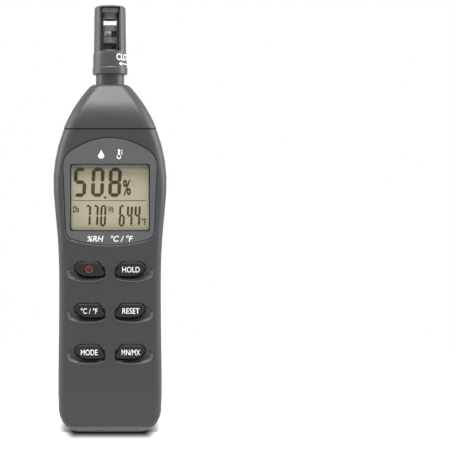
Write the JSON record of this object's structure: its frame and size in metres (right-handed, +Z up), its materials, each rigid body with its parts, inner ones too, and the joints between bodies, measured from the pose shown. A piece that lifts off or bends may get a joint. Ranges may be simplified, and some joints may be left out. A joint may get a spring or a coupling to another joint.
{
  "type": "handheld humidity meter",
  "caption": "Slim handheld humidity and temperature meter with a shield-shaped display, dished keys, a battery bay and a slotted probe under a twisting guard sleeve.",
  "frame": {"origin": "middle of the bottom end, on the surface that it stands on", "axes": "+Z up the length towards the probe, the display faces -Y, +X to the right of someone facing the display"},
  "size_m": [0.0466, 0.033, 0.1758],
  "materials": {
    "case_plastic": "fine-textured dark grey moulded plastic",
    "probe_plastic": "fine-textured dark grey moulded plastic",
    "key_plastic": "smooth near-black moulded plastic with printed legends",
    "lens_plastic": "clear acrylic window",
    "mask_print": "dark grey plastic front panel",
    "inner_plastic": "black moulded plastic",
    "lcd_glass": "khaki liquid crystal glass with dark segments",
    "white_plastic": "white plastic",
    "rubber": "silicone rubber",
    "circuit_board": "green solder mask",
    "ceramic": "small glazed components",
    "plated_metal": "nickel-plated steel",
    "cell_can": "printed metal can"
  },
  "bodies": {
    "case": {"front_cover": "case_plastic", "rear_cover": "case_plastic", "nose_cover": "case_plastic", "display_lens": "lens_plastic", "lens_mask": "mask_print", "lcd_frame": "inner_plastic", "lcd_glass": "lcd_glass", "lcd_reflector": "white_plastic", "contact_strips": "rubber", "main_board": "circuit_board", "controller_chip": "inner_plastic", "board_parts": "ceramic", "buzzer": "inner_plastic", "keypad_mat": "rubber", "sensor_cage": "probe_plastic", "sleeve_ring": "rubber", "stem_nut": "plated_metal", "sensor_board": "circuit_board", "humidity_chip": "white_plastic", "thermistor": "ceramic", "sensor_ribbon": "white_plastic", "ribbon_socket": "white_plastic", "battery_left": "cell_can", "battery_right": "cell_can", "battery_springs": "plated_metal", "bridge_plate": "plated_metal", "terminal_plates": "plated_metal", "case_screws": "plated_metal", "board_screws": "plated_metal"},
    "sleeve": {"sensor_sleeve": "probe_plastic"},
    "door": {"battery_door": "case_plastic", "door_screw": "plated_metal"},
    "key_power_cap": {"key_power": "key_plastic"},
    "key_hold_cap": {"key_hold": "key_plastic"},
    "key_unit_cap": {"key_unit": "key_plastic"},
    "key_reset_cap": {"key_reset": "key_plastic"},
    "key_mode_cap": {"key_mode": "key_plastic"},
    "key_min_max_cap": {"key_min_max": "key_plastic"}
  },
  "joints": [
    {"name": "sleeve_turn", "type": "hinge", "parent": "case", "child": "sleeve", "pos_m": [0, 0, 0.16], "axis": [0, 0, 1], "range_deg": [-90, 0]},
    {"name": "door_release", "type": "slide", "parent": "case", "child": "door", "axis": [0, 1, 0], "range_m": [0, 0.03]},
    {"name": "key_power_press", "type": "slide", "parent": "case", "child": "key_power_cap", "axis": [0, 1, 0], "range_m": [0, 0.001], "stiffness_N_per_m": 1500},
    {"name": "key_hold_press", "type": "slide", "parent": "case", "child": "key_hold_cap", "axis": [0, 1, 0], "range_m": [0, 0.001], "stiffness_N_per_m": 1500},
    {"name": "key_unit_press", "type": "slide", "parent": "case", "child": "key_unit_cap", "axis": [0, 1, 0], "range_m": [0, 0.001], "stiffness_N_per_m": 1500},
    {"name": "key_reset_press", "type": "slide", "parent": "case", "child": "key_reset_cap", "axis": [0, 1, 0], "range_m": [0, 0.001], "stiffness_N_per_m": 1500},
    {"name": "key_mode_press", "type": "slide", "parent": "case", "child": "key_mode_cap", "axis": [0, 1, 0], "range_m": [0, 0.001], "stiffness_N_per_m": 1500},
    {"name": "key_min_max_press", "type": "slide", "parent": "case", "child": "key_min_max_cap", "axis": [0, 1, 0], "range_m": [0, 0.001], "stiffness_N_per_m": 1500}
  ]
}
